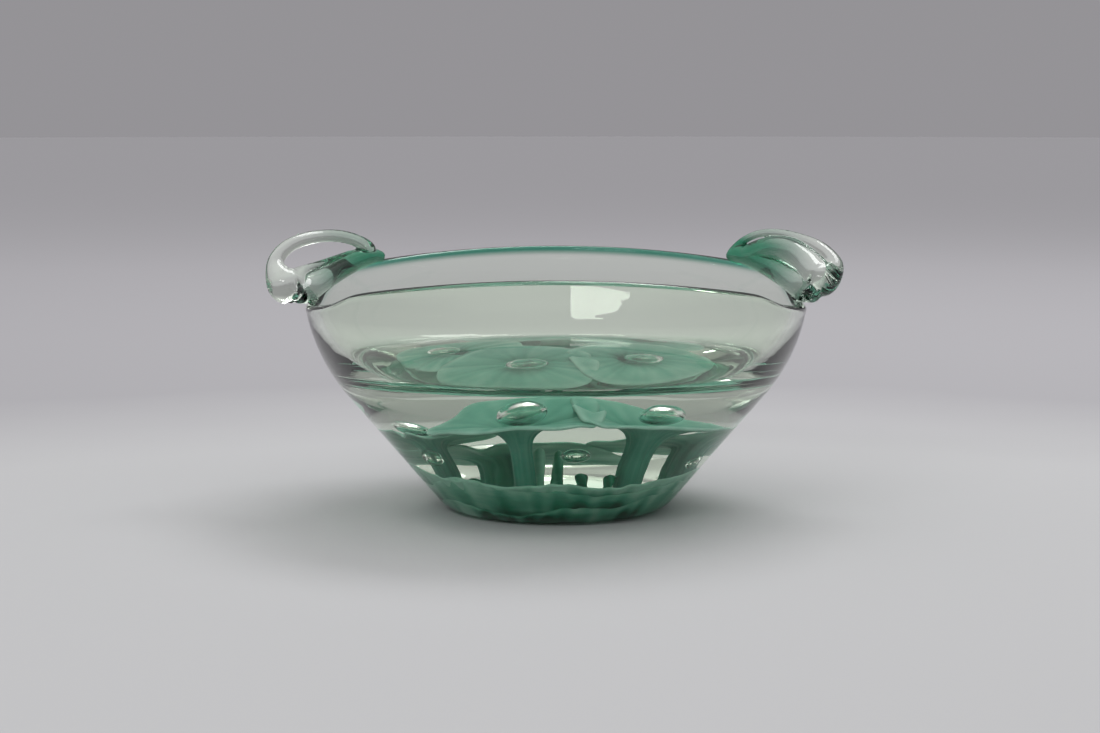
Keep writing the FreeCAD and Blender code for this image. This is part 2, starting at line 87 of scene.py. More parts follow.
def join_objects(first, *others):
    """Join the others into first, which stays the active object."""
    bpy.ops.object.select_all(action="DESELECT")
    for obj in (first, *others):
        obj.select_set(True)
    bpy.context.view_layer.objects.active = first
    bpy.ops.object.join()
    return first


# ---------------------------------------------------------------- materials

def new_material(name):
    """A material with a Principled shader: the material, its node tree and the shader."""
    material = bpy.data.materials.new(name)
    material.use_nodes = True
    tree = material.node_tree
    tree.nodes.clear()
    output = tree.nodes.new("ShaderNodeOutputMaterial")
    shader = tree.nodes.new("ShaderNodeBsdfPrincipled")
    tree.links.new(shader.outputs["BSDF"], output.inputs["Surface"])
    return material, tree, shader


def noise_node(tree, coordinates, scale, detail=4.0, roughness=0.55, distortion=0.0):
    node = tree.nodes.new("ShaderNodeTexNoise")
    node.inputs["Scale"].default_value = scale
    node.inputs["Detail"].default_value = detail
    node.inputs["Roughness"].default_value = roughness
    node.inputs["Distortion"].default_value = distortion
    tree.links.new(coordinates, node.inputs["Vector"])
    return node.outputs["Fac"]


def object_coordinates(tree, stretch=(1, 1, 1), shift=(0, 0, 0)):
    source = tree.nodes.new("ShaderNodeTexCoord")
    mapping = tree.nodes.new("ShaderNodeMapping")
    mapping.inputs["Scale"].default_value = stretch
    mapping.inputs["Location"].default_value = shift
    tree.links.new(source.outputs["Object"], mapping.inputs["Vector"])
    return mapping.outputs["Vector"]


def ramp_node(tree, factor, stops):
    node = tree.nodes.new("ShaderNodeValToRGB")
    ramp = node.color_ramp
    while len(ramp.elements) < len(stops):
        ramp.elements.new(0.5)
    for element, (position, colour) in zip(ramp.elements, stops):
        element.position = position
        element.color = (*colour, 1)
    tree.links.new(factor, node.inputs["Fac"])
    return node.outputs["Color"]


def scaled_sum(tree, value, factor, base):
    """value times factor, plus base."""
    node = tree.nodes.new("ShaderNodeMath")
    node.operation = "MULTIPLY_ADD"
    node.inputs[1].default_value = factor
    tree.links.new(value, node.inputs[0])
    tree.links.new(base, node.inputs[2])
    return node.outputs["Value"]


def bump_node(tree, height, shader, strength):
    node = tree.nodes.new("ShaderNodeBump")
    node.inputs["Strength"].default_value = strength
    node.inputs["Distance"].default_value = MM
    tree.links.new(height, node.inputs["Height"])
    tree.links.new(node.outputs["Normal"], shader.inputs["Normal"])


def vertex_value(tree, name):
    node = tree.nodes.new("ShaderNodeAttribute")
    node.attribute_name = name
    return node.outputs["Fac"]


def clear_glass(name, tint, density, ripple, guided):
    """Fire-polished glass with a rippled skin.

    tint and density colour its depth, and guided is a painted green glow in the base colour, standing for
    light that an edge guides out of the base.
    """
    material, tree, shader = new_material(name)
    shader.inputs["Transmission Weight"].default_value = 1.0
    shader.inputs["Roughness"].default_value = 0.0
    shader.inputs["IOR"].default_value = 1.5
    colours = ramp_node(tree, vertex_value(tree, "shade"), [(0.0, (0.95, 1.0, 0.925)), (1.0, guided)])
    tree.links.new(colours, shader.inputs["Base Color"])
    absorption = tree.nodes.new("ShaderNodeVolumeAbsorption")
    absorption.inputs["Color"].default_value = (*tint, 1)
    absorption.inputs["Density"].default_value = density
    tree.links.new(absorption.outputs["Volume"], tree.get_output_node("ALL").inputs["Volume"])
    coordinates = object_coordinates(tree, (1, 1, 3.5))
    waves = noise_node(tree, coordinates, 38, detail=2.0, roughness=0.4, distortion=0.6)
    bump_node(tree, waves, shader, ripple)
    return material


def teal_glass(name, stops, streak_scale, roughness, stretch, relief):
    """Opaque coloured glass with drawn-out streaks, dark to pale along stops."""
    material, tree, shader = new_material(name)
    coordinates = object_coordinates(tree, stretch)
    clouds = noise_node(tree, coordinates, streak_scale, detail=5.0, roughness=0.6, distortion=1.2)
    level = scaled_sum(tree, clouds, 0.40, vertex_value(tree, "shade"))
    colours = ramp_node(tree, level, stops)
    tree.links.new(colours, shader.inputs["Base Color"])
    shader.inputs["Roughness"].default_value = roughness
    shader.inputs["Specular IOR Level"].default_value = 0.1
    bump_node(tree, clouds, shader, relief)
    return material


CLEAR = clear_glass("clear_glass", tint=(0.62, 0.90, 0.52), density=2.8, ripple=0.05,
                    guided=(0.05, 0.36, 0.24))
HANDLE = clear_glass("handle_glass", tint=(0.60, 0.90, 0.62), density=4.0, ripple=0.08,
                     guided=(0.05, 0.36, 0.20))
PETAL_STOPS = [
    (0.05, (0.012, 0.150, 0.092)),
    (0.30, (0.075, 0.345, 0.250)),
    (0.55, (0.190, 0.525, 0.410)),
    (0.90, (0.450, 0.760, 0.650)),
]
GROUND_STOPS = [
    (0.00, (0.008, 0.120, 0.062)),
    (0.22, (0.035, 0.310, 0.185)),
    (0.46, (0.150, 0.530, 0.370)),
    (0.80, (0.430, 0.790, 0.640)),
]
PETALS = teal_glass("flower_glass", PETAL_STOPS, streak_scale=60, roughness=0.45, stretch=(1, 1, 1),
                    relief=0.2)
GROUND = teal_glass("ground_glass", GROUND_STOPS, streak_scale=80, roughness=0.4, stretch=(1, 1, 3.5),
                    relief=0.55)


def set_shade(obj, values):
    """Store one number per vertex, which the materials read as shade: a colour level that in places holds
    painted glow or painted shade.
    """
    layer = obj.data.attributes.new("shade", "FLOAT", "POINT")
    layer.data.foreach_set("value", np.array(values, np.float32))


# ---------------------------------------------------------------- the bowl's outline, from the frame

BOWL_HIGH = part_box("bowl_body")[1]
FOOT_RADIUS = 24.0 * MM
HEEL_RADIUS = 7.8 * MM
BELLY_RADIUS = 46.0 * MM
BELLY_HEIGHT = 58.7 * MM
MOUTH_RADIUS = BOWL_HIGH.y
RIM_HEIGHT = BOWL_HIGH.z
WALL_LOW = 3.6 * MM
WALL_LOW_HEIGHT = 52.0 * MM
WALL_LEAN = math.radians(8.5)
HOLLOW_RADIUS = 30.0 * MM
FLOOR_CROWN = 41.3 * MM
DOME_RADIUS = 220.0 * MM
DOME_EDGE = 45.0 * MM
FLOOR_FILLET = 5.0 * MM
RIM_HALF = 1.1 * MM
RIM_SAG = 8.6 * MM
RIM_BACK_SAG = 4.2 * MM
RIM_BACK_START = 28.0 * MM
RIM_DIP = 2.0 * MM
DIP_CENTRE = 50.5 * MM
DIP_WIDTH = 1.6 * MM
RIM_BAND = 8.0 * MM             # height below the rim's ends over which the wall follows the saddle
SKIN_SWAY = 0.22 * MM           # how far the hand-worked skin dips in

# Painted glow: green put into the base colour where light guided by the glass shows, round the rim and in
# the moat round the domed floor.
RIM_GLOW_BELOW = 1.6 * MM
RIM_GLOW_FADE = 1.8 * MM
FRONT_GLOW_START = 12.0 * MM
FRONT_GLOW_FADE = 40.0 * MM
MOAT_RADIUS = 47.5 * MM
MOAT_REACH = 6.0 * MM
MOAT_TOP = 40.0 * MM
MOAT_GLOW = 0.42


def arc_points(centre, radius, first, last, count):
    """Points on an arc from angle first to angle last, both ends included."""
    angles = np.linspace(math.radians(first), math.radians(last), count)
    return [(centre[0] + radius * math.cos(a), centre[1] + radius * math.sin(a)) for a in angles]


def outer_outline():
    """Radius and height from the middle of the foot up the outside to where the belly turns upright."""
    heel = (FOOT_RADIUS, HEEL_RADIUS)
    belly = (MOUTH_RADIUS - BELLY_RADIUS, BELLY_HEIGHT)
    span = math.dist(heel, belly)
    along = math.atan2(belly[1] - heel[1], belly[0] - heel[0])
    normal = math.degrees(along - math.acos((HEEL_RADIUS - BELLY_RADIUS) / span))
    foot = [(FOOT_RADIUS * part, 0.0) for part in (0.25, 0.5, 0.75)]
    points = foot + arc_points(heel, HEEL_RADIUS, -90, normal, count=14)
    upper = arc_points(belly, BELLY_RADIUS, normal, 0, count=34)
    start, end = points[-1], upper[0]
    side_steps = 22
    for step in range(1, side_steps):
        part = step / side_steps
        points.append((start[0] + (end[0] - start[0]) * part, start[1] + (end[1] - start[1]) * part))
    return points + upper


def hollow_centre():
    """Centre of the inside's round: it runs into the leaning wall without a crease."""
    return (
        MOUTH_RADIUS - WALL_LOW - HOLLOW_RADIUS * math.cos(WALL_LEAN),
        WALL_LOW_HEIGHT + HOLLOW_RADIUS * math.sin(WALL_LEAN),
    )


def inner_radius(height):
    """Radius of the inside at a height, in the wall or in the round below it."""
    if height >= WALL_LOW_HEIGHT:
        return MOUTH_RADIUS - WALL_LOW + (height - WALL_LOW_HEIGHT) * math.tan(WALL_LEAN)
    centre = hollow_centre()
    return centre[0] + math.sqrt(HOLLOW_RADIUS ** 2 - (centre[1] - height) ** 2)


def floor_dome(radius):
    """Height of the bowl's domed floor at a radius."""
    return FLOOR_CROWN - DOME_RADIUS + math.sqrt(DOME_RADIUS ** 2 - radius ** 2)


def corner_centre():
    """Centre of the moat's round, which touches the hollow from within and the domed floor from above."""
    hollow = hollow_centre()
    dome = (0.0, FLOOR_CROWN - DOME_RADIUS)
    near, far = HOLLOW_RADIUS - FLOOR_FILLET, DOME_RADIUS + FLOOR_FILLET
    span = math.dist(hollow, dome)
    along = (near ** 2 - far ** 2 + span ** 2) / (2 * span)
    off = math.sqrt(near ** 2 - along ** 2)
    step = ((dome[0] - hollow[0]) / span, (dome[1] - hollow[1]) / span)
    return (hollow[0] + along * step[0] - off * step[1], hollow[1] + along * step[1] + off * step[0])


def inner_outline():
    """Radius and height from where the wall starts to curve, round the moat and over the dome."""
    hollow, corner = hollow_centre(), corner_centre()
    dome = (0.0, FLOOR_CROWN - DOME_RADIUS)
    meeting = math.degrees(math.atan2(corner[1] - hollow[1], corner[0] - hollow[0]))
    landing = math.degrees(math.atan2(dome[1] - corner[1], dome[0] - corner[0]))
    points = arc_points(hollow, HOLLOW_RADIUS, -math.degrees(WALL_LEAN), meeting, count=24)
    points += arc_points(corner, FLOOR_FILLET, meeting, landing, count=20)[1:]
    edge = points[-1][0]
    floor = [edge * part for part in (0.93, 0.86, 0.78, 0.68, 0.56, 0.44, 0.32, 0.2, 0.1)]
    return points + [(radius, floor_dome(radius)) for radius in floor]


def smoothstep(value):
    part = min(1.0, max(0.0, value))
    return part * part * (3 - 2 * part)


def rim_height_at(across, away):
    """A saddle that sags towards both handles, less so along the back where the handles land."""
    part = (across / MOUTH_RADIUS) ** 2
    dip = RIM_DIP / (1 + math.exp(-(abs(across) - DIP_CENTRE) / DIP_WIDTH))
    front = RIM_HEIGHT - RIM_SAG * part - dip
    back = RIM_HEIGHT - RIM_BACK_SAG * part
    return front + (back - front) * smoothstep(away / RIM_BACK_START)


def rim_glow(point, rim_centre_height):
    """How much painted green glow the rim shows, standing for light guided through the glass: most along its
    top and round the back.
    """
    nearness = smoothstep((point.z - rim_centre_height + RIM_GLOW_BELOW) / RIM_GLOW_FADE)
    return nearness * (0.06 + 0.94 * smoothstep((point.y + FRONT_GLOW_START) / FRONT_GLOW_FADE))


def moat_glow(point):
    """How much painted green glow, standing for light guided through the glass, the moat round the floor
    shows.
    """
    away = abs(math.hypot(point.x, point.y) - MOAT_RADIUS) / MOAT_REACH
    return MOAT_GLOW * smoothstep(1.2 - away)


def rim_top(turn):
    """Height of the middle of the rim's round at a bearing."""
    radius = MOUTH_RADIUS - RIM_HALF
    return rim_height_at(radius * math.cos(turn), radius * math.sin(turn)) - RIM_HALF


def outer_radius(height):
    """Radius of the outside at a height, in the belly or above it."""
    if height >= BELLY_HEIGHT:
        return MOUTH_RADIUS
    return MOUTH_RADIUS - BELLY_RADIUS + math.sqrt(BELLY_RADIUS ** 2 - (BELLY_HEIGHT - height) ** 2)


def clear_body():
    """Outside, rounded rim and inside of the clear glass as one closed skin."""
    columns = 288
    stack, rim_steps = 12, 12
    calm_foot = 12 * MM
    turns = [TAU * column / columns for column in range(columns)]
    start = rim_height_at(MOUTH_RADIUS, 0) - RIM_BAND
    outer_low = [p for p in outer_outline() if p[1] < start]
    inner_low = [p for p in inner_outline() if p[1] < start]
    rings = [[p] * columns for p in outer_low]

    def between(low, step, radius_of):
        heights = [low + (rim_top(turn) - low) * step / stack for turn in turns]
        return [(radius_of(height), height) for height in heights]

    rings += [between(outer_low[-1][1], step, outer_radius) for step in range(1, stack + 1)]
    for step in range(1, rim_steps):
        angle = math.pi * step / rim_steps
        ring = []
        for turn in turns:
            top = rim_top(turn)
            middle = (outer_radius(top) + inner_radius(top)) / 2
            half = (outer_radius(top) - inner_radius(top)) / 2
            ring.append((middle + half * math.cos(angle), top + RIM_HALF * math.sin(angle)))
        rings.append(ring)
    rings += [between(inner_low[0][1], step, inner_radius) for step in range(stack, 0, -1)]
    rings += [[p] * columns for p in inner_low]

    verts = []
    for ring in rings:
        for turn, (radius, height) in zip(turns, ring):
            direction = Vector((math.cos(turn), math.sin(turn), 0))
            sway = noise.noise(Vector((direction.x * 1.3, direction.y * 1.3, height * 28))) * SKIN_SWAY
            sway *= min(1.0, height / calm_foot)
            verts.append(direction * (radius - abs(sway)) + UP * height)
    faces = grid_faces(len(rings), columns)
    faces += cap(len(verts), 0, columns, flip=True)
    faces += cap(len(verts) + 1, (len(rings) - 1) * columns, columns)
    verts += [Vector((0, 0, 0)), Vector((0, 0, FLOOR_CROWN))]
    body = make_object("clear_glass_body", verts, faces, CLEAR)
    # Shade here is a painted green glow on the rim and in the moat, standing for light guided through the
    # glass.
    shades = [rim_glow(v, rim_top(math.atan2(v.y, v.x))) for v in verts]
    moat_start = (len(rings) - len(inner_low)) * columns
    for index in range(moat_start, len(verts)):
        if verts[index].z < MOAT_TOP:
            shades[index] = max(shades[index], moat_glow(verts[index]))
    set_shade(body, shades)
    return body


# ---------------------------------------------------------------- flowers

# Sizes from here to the stage are in millimetres, and a vertex is scaled by MM when it is stored.
FLOWER_FOOT_HEIGHT = 10.5
PLATE_THICKNESS = 0.75
MOUTH_POWER = 2.5               # 2 would be an ellipse, and more is squarer
CREASE_DEPTH = 1.8
FLOOR_COVER = 1.4               # clear glass left between a flower and the bowl's floor
FLOOR_EASE = 3.0                # height over which a flower eases off below that

# Each flower: bearing in degrees from +X; ring and height place the middle of its mouth; wide and deep are
# the mouth's half sizes; tilt leans it outward and roll lifts one end; inner is how much further its inner
# half reaches towards the axis; droop is how far its two ends hang; creases are the turns at which the
# plate is folded; stem is the stem's half width, foot its distance from the axis where it leaves the ground,
# and flare how suddenly it opens into the plate.
FLOWERS = {
    "flower_front": dict(bearing=-108.0, ring=30.3, height=32.6, wide=19.0, deep=11.2,
                         tilt=28.0, roll=5.0, stem=2.4, flare=2.7,
                         foot=20.0, inner=0.85, droop=3.6, creases=(2.2,)),
    "flower_right": dict(bearing=-43.0, ring=30.3, height=32.2, wide=19.8, deep=11.0,
                         tilt=28.0, roll=-5.0, stem=2.9, flare=2.7,
                         foot=19.0, inner=0.85, droop=3.4, creases=(-2.35,)),
    "flower_back_right": dict(bearing=28.0, ring=27.0, height=31.8, wide=16.5, deep=10.6,
                              tilt=2.0, roll=3.0, stem=2.8, flare=5.0,
                              foot=20.0, inner=0.85, droop=1.5, creases=(1.0,)),
    "flower_back_left": dict(bearing=108.0, ring=26.5, height=31.4, wide=18.0, deep=10.6,
                             tilt=2.0, roll=-3.0, stem=2.6, flare=5.0,
                             foot=20.0, inner=0.85, droop=1.5, creases=(2.6,)),
    "flower_left": dict(bearing=192.0, ring=27.5, height=28.8, wide=16.5, deep=11.4,
                        tilt=18.0, roll=3.0, stem=2.8, flare=4.0,
                        foot=19.5, inner=0.7, droop=2.0, creases=(0.6,)),
}


def bearing_vector(bearing):
    turn = math.radians(bearing)
    return Vector((math.cos(turn), math.sin(turn), 0))


def under_floor(point):
    """Ease a point off so that it stays below the bowl's domed floor."""
    ceiling = floor_dome(min(DOME_EDGE, math.hypot(point.x, point.y) * MM)) / MM - FLOOR_COVER
    start = ceiling - FLOOR_EASE
    if point.z <= start:
        return point.z
    return start + FLOOR_EASE * math.tanh((point.z - start) / FLOOR_EASE)


def flower_sections(spec, count):
    """Along the flower from foot to lip: share of the way, opening 0 to 1, and how far up it stands."""
    stem_share = 0.30
    rows = []
    for index in range(count):
        t = index / (count - 1)
        opening = max(0.0, (t - stem_share) / (1 - stem_share)) ** spec["flare"]
        rows.append((t, opening, 1 - (1 - t) ** 2.1))
    return rows


def flower(name, spec, seed):
    """A slim stem that flares into a wide, nearly flat, uneven plate.

    The skin runs up the outside, over the lip and back across the top.
    """
    columns, stem_rows = 144, 22
    lip_start, crease_width = 0.955, 0.10
    out = bearing_vector(spec["bearing"])
    side = UP.cross(out)
    foot = out * spec["foot"] + UP * FLOWER_FOOT_HEIGHT
    mouth = out * spec["ring"] + UP * spec["height"]
    tilt, roll = math.radians(spec["tilt"]), math.radians(spec["roll"])
    verts, values = [], []

    def ring(t, opening, rise, inward, lift, paleness):
        lean = t ** 1.3
        turned = Matrix.Rotation(roll * lean, 3, out) @ Matrix.Rotation(tilt * lean, 3, side)
        centre = foot.lerp(mouth, lean)
        centre.z = foot.z + (mouth.z - foot.z) * rise
        axis_out, axis_side, axis_up = turned @ out, turned @ side, turned @ UP
        along = spec["stem"] * (1 - opening) + spec["deep"] * opening
        across = spec["stem"] * (1 - opening) + spec["wide"] * opening
        for column in range(columns):
            turn = TAU * column / columns
            c, d = math.cos(turn), math.sin(turn)
            full = (abs(c) ** MOUTH_POWER + abs(d) ** MOUTH_POWER) ** (-1 / MOUTH_POWER)
            full = 1 + (full - 1) * opening
            lobe = noise.noise(Vector((c * 1.5, d * 1.5, seed)))
            fold = noise.noise(Vector((c * 2.6, d * 2.6, seed + 4 + t * 0.5)))
            reach = full * (1 + 0.10 * lobe * opening + 0.22 * fold * (1 - opening) * min(1, t * 4))
            sag = (1.1 * lobe + 0.8 * fold - spec["droop"] * d * d) * opening ** 1.5
            for crease in spec["creases"]:
                away = math.remainder(turn - crease, TAU)
                sag -= CREASE_DEPTH * math.exp(-(away / crease_width) ** 2) * opening ** 0.8
                reach -= 0.10 * math.exp(-(away / 0.08) ** 2) * opening
            inner = 1 + spec["inner"] * opening * smoothstep(-c)
            x = c * max(0.3, along * reach * inner - inward)
            y = d * max(0.3, across * reach - inward)
            point = centre + axis_out * x + axis_side * y + axis_up * (sag + lift)
            point.z = under_floor(point - UP * lift) + lift
            verts.append(point * MM)
            streak = noise.noise(Vector((c * 6, d * 6, seed + t * 1.5)))
            values.append(0.14 + 0.30 * opening + 0.14 * streak * (0.4 + t) + paleness)

    rows = flower_sections(spec, 60)
    for t, opening, rise in rows:
        pale_lip = 0.20 * max(0.0, (t - lip_start) / (1 - lip_start))
        ring(t, opening, rise, inward=0.0, lift=0.0, paleness=pale_lip)
    ring(*rows[-1], inward=-0.25, lift=0.30, paleness=0.24)
    for t, opening, rise in reversed(rows[stem_rows:]):
        pale_lip = 0.02 + 0.16 * max(0.0, (t - 0.97) / 0.03)
        ring(t, opening, rise, inward=0.55 * (1 - opening) + 0.1, lift=PLATE_THICKNESS, paleness=pale_lip)
    total_rows = len(verts) // columns
    faces = grid_faces(total_rows, columns)
    for ring_start, flip in ((0, True), ((total_rows - 1) * columns, False)):
        middle = sum(verts[ring_start:ring_start + columns], Vector()) / columns
        faces += cap(len(verts), ring_start, columns, flip)
        verts.append(middle)
        values.append(0.1)
    obj = make_object(name + "_petals", verts, faces, PETALS)
    set_shade(obj, values)
    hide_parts(name)
    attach(obj, "root")


# ---------------------------------------------------------------- air bubbles, hollows in the clear glass

# Bearing, ring and height of the centre, half sizes (outward, sideways, upward) and slant in degrees.
BUBBLES = [
    (-104.0, 28.8, 34.7, (4.4, 5.4, 2.7), 12.0),
    (-43.0, 28.8, 34.6, (4.4, 5.3, 2.4), -5.0),
    (28.0, 27.5, 33.9, (4.0, 4.8, 2.2), 3.0),
    (108.0, 27.0, 33.4, (4.0, 4.8, 2.2), -3.0),
    (192.0, 27.8, 31.8, (4.2, 4.8, 2.3), -10.0),
    (-81.4, 28.0, 22.4, (2.6, 3.2, 2.1), 0.0),
    (-12.6, 28.5, 19.3, (2.3, 2.5, 2.2), 0.0),
    (60.0, 28.5, 20.5, (2.3, 2.4, 2.1), 0.0),
    (138.0, 28.5, 20.5, (2.3, 2.4, 2.2), 0.0),
    (-152.8, 28.5, 21.0, (2.6, 2.9, 2.8), 0.0),
]


def bubble(index, bearing, radius, height, half_sizes, slant):
    """A flattened egg of air.  Its faces look inward, because the glass is outside it."""
    rows, columns = 28, 48
    out = bearing_vector(bearing)
    lean = Matrix.Rotation(math.radians(slant), 3, out)
    side, up = lean @ UP.cross(out), lean @ UP
    centre = out * radius + UP * height
    verts = []
    for row in range(1, rows):
        polar = math.pi * row / rows
        for column in range(columns):
            turn = TAU * column / columns
            x = math.sin(polar) * math.cos(turn)
            y = math.sin(polar) * math.sin(turn)
            z = math.cos(polar)
            swell = 1 + 0.05 * noise.noise(Vector((x, y, z)) * 1.4 + centre * 0.06)
            point = out * (x * half_sizes[0]) + side * (y * half_sizes[1]) + up * (z * half_sizes[2])
            verts.append((centre + point * swell) * MM)
    faces = grid_faces(rows - 1, columns)
    top, bottom = len(verts), len(verts) + 1
    verts += [(centre + up * half_sizes[2]) * MM, (centre - up * half_sizes[2]) * MM]
    faces += cap(top, 0, columns, flip=True)
    faces += cap(bottom, (rows - 2) * columns, columns)
    obj = make_object(f"air_{index}", verts, faces, CLEAR)
    set_shade(obj, [0.0] * len(verts))
    return obj


# ---------------------------------------------------------------- ground: three ruffled sheets

SIDE_RADIUS = 24.4              # the bed keeps inside the bowl's slanted side: radius at its foot
SIDE_SLOPE = 0.855              # and how fast that grows with height
BED_LOWEST = 1.3
BACK_DROP = 0.34                # share by which the bed is lower at the back


def ruffle(name, foot, edge, crown, seed, lobes, depth, shades):
    """A closed pad with a folded, wavy edge and a shallow hollow in its top.

    foot and edge are (radius, height), crown is the height of the middle of its top, and depth is how far
    the folds rise and fall.  shades go from the foot, darkened as painted shade in the recess under the
    sheet above, to the lighter edge.  The whole bed is lower at the back.
    """
    columns, side_steps, lip_steps = 360, 24, 6
    outline = []
    for step in range(side_steps + 1):
        t = step / side_steps
        radius = foot[0] + (edge[0] - foot[0]) * t
        height = foot[1] + (edge[1] - foot[1]) * t ** 1.15
        outline.append((radius, height, t, 1.0))
    for step in range(1, lip_steps):
        angle = math.pi * step / lip_steps
        outline.append((edge[0] - 0.5 + 0.5 * math.cos(angle), edge[1] + 0.7 * math.sin(angle), 1.0, 1.0))
    for part in (0.96, 0.9, 0.82, 0.7, 0.55, 0.4, 0.2):
        outline.append((edge[0] * part, crown + (edge[1] - crown) * part ** 2, 1.0, part ** 3))
    verts, values = [], []
    for radius, height, t, ruffled in outline:
        for column in range(columns):
            turn = TAU * column / columns
            c, d = math.cos(turn), math.sin(turn)
            swell = noise.noise(Vector((c * lobes * 0.45, d * lobes * 0.45, seed + 3)))
            fold = noise.noise(Vector((c * lobes, d * lobes, seed)))
            fine = noise.noise(Vector((c * lobes * 4.2, d * lobes * 4.2, seed + 7 + t)))
            pleat = noise.noise(Vector((c * 9, d * 9, seed + 20 + t * 0.3)))
            block = noise.noise(Vector((c * 5, d * 5, seed + 40)))
            r = radius + (2.4 * swell + 1.1 * fold + 0.4 * fine) * t * ruffled
            z = height + depth * (0.9 * swell + 0.8 * fold - 0.25 * fine) * t ** 2 * ruffled
            z = max(BED_LOWEST, z * (1 - BACK_DROP * smoothstep((d + 0.15) / 0.9)))
            r = min(r, SIDE_RADIUS + SIDE_SLOPE * z)
            verts.append(Vector((c * r, d * r, z)) * MM)
            # Painted shade: the sheet is darkest at its foot, in the recess under the sheet above, and
            # lighter out to its edge.
            shade = shades[0] + (shades[1] - shades[0]) * t ** 2 * ruffled
            streaks = 0.60 * pleat * (1 - 0.6 * t) + 0.95 * block * (1 - t)
            values.append(shade + 0.22 * fine + 0.20 * fold + streaks)
    rows = len(outline)
    faces = grid_faces(rows, columns)
    faces += cap(len(verts), 0, columns, flip=True)
    verts.append(Vector((0, 0, foot[1])) * MM)
    values.append(shades[0])
    faces += cap(len(verts), (rows - 1) * columns, columns)
    verts.append(Vector((0, 0, crown * 0.8)) * MM)
    values.append(shades[1])
    obj = make_object(name, verts, faces, GROUND)
    set_shade(obj, values)
    return obj


SHOOT_FOOT_HEIGHT = 9.0
# Knots of glass pulled up from the ground between the stems: foot (x, y), top (x, y, z), radius and shade.
SHOOTS = [
    ((-4.4, -16.0), (-3.2, -17.0, 27.0), 1.9, 0.50),
    ((-0.2, -15.0), (0.6, -15.0, 26.5), 1.7, 0.10),
    ((5.6, -17.0), (5.0, -17.5, 18.5), 2.0, 0.00),
    ((10.2, -17.5), (11.0, -18.0, 17.5), 1.6, -0.02),
    ((-17.0, -17.0), (-16.6, -17.5, 15.5), 1.8, 0.05),
    ((14.0, 16.0), (13.5, 17.0, 16.0), 1.5, 0.12),
]


def shoot(index, foot, top, radius, shade):
    """A short waisted, rippled post with a round end."""
    columns, rows = 32, 24
    verts, values = [], []
    for row in range(rows):
        t = row / (rows - 1)
        x = foot[0] + (top[0] - foot[0]) * t
        y = foot[1] + (top[1] - foot[1]) * t
        z = SHOOT_FOOT_HEIGHT + (top[2] - SHOOT_FOOT_HEIGHT) * t
        width = radius * (1 - 0.35 * math.sin(math.pi * t)) * math.sqrt(max(0.02, 1 - t ** 8))
        for column in range(columns):
            turn = TAU * column / columns
            ripple = 1 + 0.22 * math.sin(2 * turn + t * 4.2 + index)
            r = width * ripple
            verts.append(Vector((x + r * math.cos(turn), y + r * math.sin(turn), z)) * MM)
            values.append(shade + 0.12 * math.sin(3 * turn + 5 * t))
    faces = grid_faces(rows, columns)
    faces += cap(len(verts), 0, columns, flip=True)
    verts.append(Vector((foot[0], foot[1], SHOOT_FOOT_HEIGHT)) * MM)
    values.append(shade)
    faces += cap(len(verts), (rows - 1) * columns, columns)
    verts.append(Vector((top[0], top[1], top[2] + 0.1)) * MM)
    values.append(shade)
    obj = make_object(f"shoot_{index}", verts, faces, GROUND)
    set_shade(obj, values)
    return obj


def ground():
    low = ruffle("ground_low", foot=(24.0, 1.2), edge=(29.2, 5.2), crown=4.4,
                 seed=1.7, lobes=2.4, depth=3.2, shades=(0.02, 0.30))
    middle = ruffle("ground_middle", foot=(23.5, 2.2), edge=(32.2, 8.8), crown=7.6,
                    seed=5.2, lobes=2.2, depth=3.6, shades=(-0.05, 0.44))
    top = ruffle("ground_top", foot=(24.5, 4.0), edge=(34.4, 12.0), crown=10.6,
                 seed=9.4, lobes=2.6, depth=2.8, shades=(-0.08, 0.72))
    shoots = [shoot(index, *spec) for index, spec in enumerate(SHOOTS)]
    obj = join_objects(low, middle, top, *shoots)
    obj.name = "ground_bed"
    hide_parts("ground_cushion")
    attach(obj, "root")


# ---------------------------------------------------------------- handles

def strand_rings(points, radii, columns):
    """Rings of vertices round a strand, with its own radius at each point.

    The strand's direction is taken as if its last point came before its first one.
    """
    count = len(points)
    verts = []
    normal = None
    for index in range(count):
        ahead = points[(index + 1) % count]
        behind = points[index - 1]
        tangent = (ahead - behind).normalized()
        if normal is None:
            normal = tangent.orthogonal().normalized()
        normal = (normal - tangent * normal.dot(tangent)).normalized()
        other = tangent.cross(normal)
        for column in range(columns):
            turn = TAU * column / columns
            verts.append(points[index] + (normal * math.cos(turn) + other * math.sin(turn)) * radii[index])
    return verts


def smooth_path(knots, closed):
    """Catmull-Rom through knots of (x, y, z, radius)."""
    samples = 14
    knots = [np.array(k, float) for k in knots]
    count = len(knots)
    spans = count if closed else count - 1
    made = []
    for span in range(spans):
        if closed:
            p0, p1, p2, p3 = (knots[(span + k - 1) % count] for k in range(4))
        else:
            p0 = knots[max(span - 1, 0)]
            p1, p2 = knots[span], knots[span + 1]
            p3 = knots[min(span + 2, count - 1)]
        for step in range(samples):
            t = step / samples
            made.append(
                0.5 * (2 * p1 + (p2 - p0) * t + (2 * p0 - 5 * p1 + 4 * p2 - p3) * t ** 2
                       + (3 * p1 - p0 - 3 * p2 + p3) * t ** 3)
            )
    if not closed:
        made.append(knots[-1])
    return made


